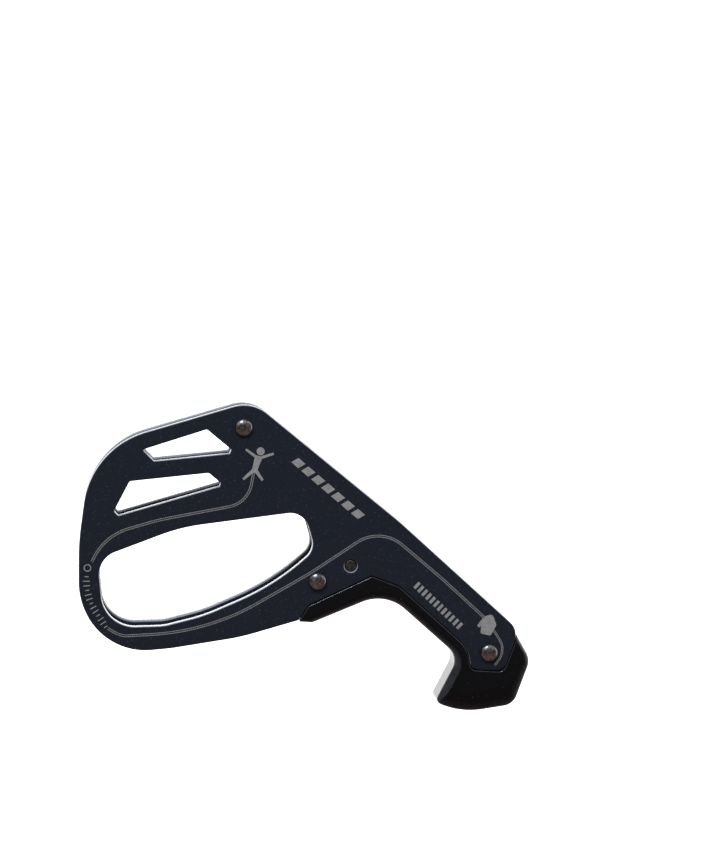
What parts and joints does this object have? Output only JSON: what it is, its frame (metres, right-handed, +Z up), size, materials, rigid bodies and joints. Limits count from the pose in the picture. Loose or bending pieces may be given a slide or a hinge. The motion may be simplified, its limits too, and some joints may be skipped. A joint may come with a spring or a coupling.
{
  "type": "assisted braking belay device",
  "caption": "Tube-style assisted-braking belay device: riveted side plates with a carabiner slot and slanted windows, and a moulded thumb-hook handle.",
  "frame": {"origin": "centre of the carabiner slot's round end, half way between the side plates", "axes": "+X from the carabiner end towards the thumb hook, +Z up with the nose rivet at the top, -Y out of the front plate"},
  "size_m": [0.1133, 0.0212, 0.0775],
  "materials": {
    "plate_anodised": "bead-blasted dark blue-grey anodised aluminium alloy",
    "handle_plastic": "satin black glass-filled nylon with a fine spark texture",
    "rivet_steel": "smooth dark stainless steel",
    "bare_steel": "bare stainless steel"
  },
  "bodies": {
    "root": {"front_plate": "plate_anodised", "rear_plate": "plate_anodised", "handle_body": "handle_plastic", "brake_insert": "bare_steel", "nose_rivet": "rivet_steel", "brake_rivet": "rivet_steel", "handle_rivet": "rivet_steel", "nose_bush": "bare_steel", "brake_sleeve": "bare_steel", "handle_sleeve": "bare_steel", "locating_pin": "rivet_steel"}
  },
  "joints": []
}
